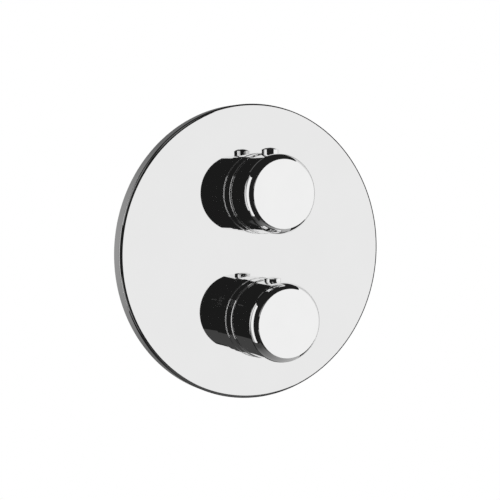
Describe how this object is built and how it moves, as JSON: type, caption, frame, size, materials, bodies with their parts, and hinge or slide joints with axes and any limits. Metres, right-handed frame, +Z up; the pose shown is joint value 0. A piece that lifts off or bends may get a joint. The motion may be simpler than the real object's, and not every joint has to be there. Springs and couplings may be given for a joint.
{
  "type": "thermostatic shower valve",
  "caption": "Concealed thermostatic shower valve: round chrome wall plate, upper flow handle and lower temperature handle with stop buttons, on a cast brass body with cartridges.",
  "frame": {"origin": "centre of the faceplate's back edge, in the plane of the finished wall", "axes": "+Z up, +X to the right seen from the front, +Y into the wall; the handles face -Y"},
  "size_m": [0.18, 0.1108, 0.18],
  "materials": {
    "chrome": "polished chrome plate",
    "cast_brass": "sand-cast, tumbled",
    "turned_brass": "machined",
    "rubber": "matt moulded",
    "foam": "closed-cell foam",
    "white_plastic": "moulded acetal",
    "grey_plastic": "glass-filled plastic",
    "ceramic": "lapped alumina",
    "steel": "zinc-plated or stainless steel",
    "spring_steel": "drawn stainless wire"
  },
  "bodies": {
    "valve": {"faceplate": "chrome", "upper_collar": "chrome", "lower_collar": "chrome", "valve_body": "cast_brass", "upper_sleeve": "turned_brass", "lower_sleeve": "turned_brass", "upper_bonnet_nut": "turned_brass", "lower_bonnet_nut": "turned_brass", "collar_seals": "rubber", "diverter_seat_seal": "rubber", "diverter_o_rings": "rubber", "diverter_spindle_seal": "rubber", "thermostat_o_rings": "rubber", "thermostat_spindle_seal": "rubber", "check_valve_o_rings": "rubber", "faceplate_seal": "foam", "flow_stop_ring": "white_plastic", "temperature_stop_ring": "white_plastic", "hot_check_valve_body": "white_plastic", "cold_check_valve_body": "white_plastic", "diverter_housing": "grey_plastic", "diverter_base": "grey_plastic", "thermostat_housing": "grey_plastic", "thermostat_end_cap": "grey_plastic", "diverter_fixed_disc": "ceramic", "mounting_bracket": "steel", "bracket_screws": "steel", "check_valve_retainers": "steel", "thermostat_return_spring": "spring_steel", "hot_check_valve_spring": "spring_steel", "cold_check_valve_spring": "spring_steel"},
    "flow_handle": {"flow_handle": "chrome", "flow_handle_insert": "white_plastic", "flow_handle_grub_screw": "steel", "flow_button_spring": "spring_steel", "flow_spindle": "turned_brass", "flow_circlip": "steel", "flow_moving_disc": "ceramic"},
    "flow_button": {"flow_button": "chrome"},
    "temperature_handle": {"temperature_handle": "chrome", "temperature_handle_insert": "white_plastic", "temperature_handle_grub_screw": "steel", "temperature_button_spring": "spring_steel", "temperature_spindle": "turned_brass", "temperature_circlip": "steel"},
    "temperature_button": {"temperature_button": "chrome"},
    "thermostat_element": {"thermostat_adjuster": "turned_brass", "overload_spring": "spring_steel", "overload_spring_seat": "grey_plastic", "wax_element": "turned_brass", "thermostat_shuttle": "grey_plastic"},
    "hot_poppet": {"hot_check_valve_poppet": "white_plastic"},
    "cold_poppet": {"cold_check_valve_poppet": "white_plastic"}
  },
  "joints": [
    {"name": "flow_turn", "type": "hinge", "parent": "valve", "child": "flow_handle", "pos_m": [0, -0.03, 0.03565], "axis": [0, 1, 0], "range_deg": [-90, 90]},
    {"name": "flow_button_press", "type": "slide", "parent": "flow_handle", "child": "flow_button", "axis": [0, 0, -1], "range_m": [0, 0.002], "stiffness_N_per_m": 800, "springref_m": -0.002, "deforming": ["flow_button_spring"]},
    {"name": "temperature_turn", "type": "hinge", "parent": "valve", "child": "temperature_handle", "pos_m": [0, -0.03, -0.03985], "axis": [0, 1, 0], "range_deg": [-60, 180]},
    {"name": "temperature_button_press", "type": "slide", "parent": "temperature_handle", "child": "temperature_button", "axis": [0, 0, -1], "range_m": [0, 0.002], "stiffness_N_per_m": 800, "springref_m": -0.002, "deforming": ["temperature_button_spring"]},
    {"name": "thermostat_element_slide", "type": "slide", "parent": "valve", "child": "thermostat_element", "axis": [0, 1, 0], "range_m": [-0.0006, 0.0016], "deforming": ["thermostat_return_spring"]},
    {"name": "hot_poppet_slide", "type": "slide", "parent": "valve", "child": "hot_poppet", "axis": [1, 0, 0], "range_m": [0, 0.002], "stiffness_N_per_m": 150, "springref_m": -0.002, "deforming": ["hot_check_valve_spring"]},
    {"name": "cold_poppet_slide", "type": "slide", "parent": "valve", "child": "cold_poppet", "axis": [-1, 0, 0], "range_m": [0, 0.002], "stiffness_N_per_m": 150, "springref_m": -0.002, "deforming": ["cold_check_valve_spring"]}
  ],
  "couplings": [
    {"joint": "thermostat_element_slide", "follows": "temperature_turn", "m_per_rad": 0.0005}
  ]
}
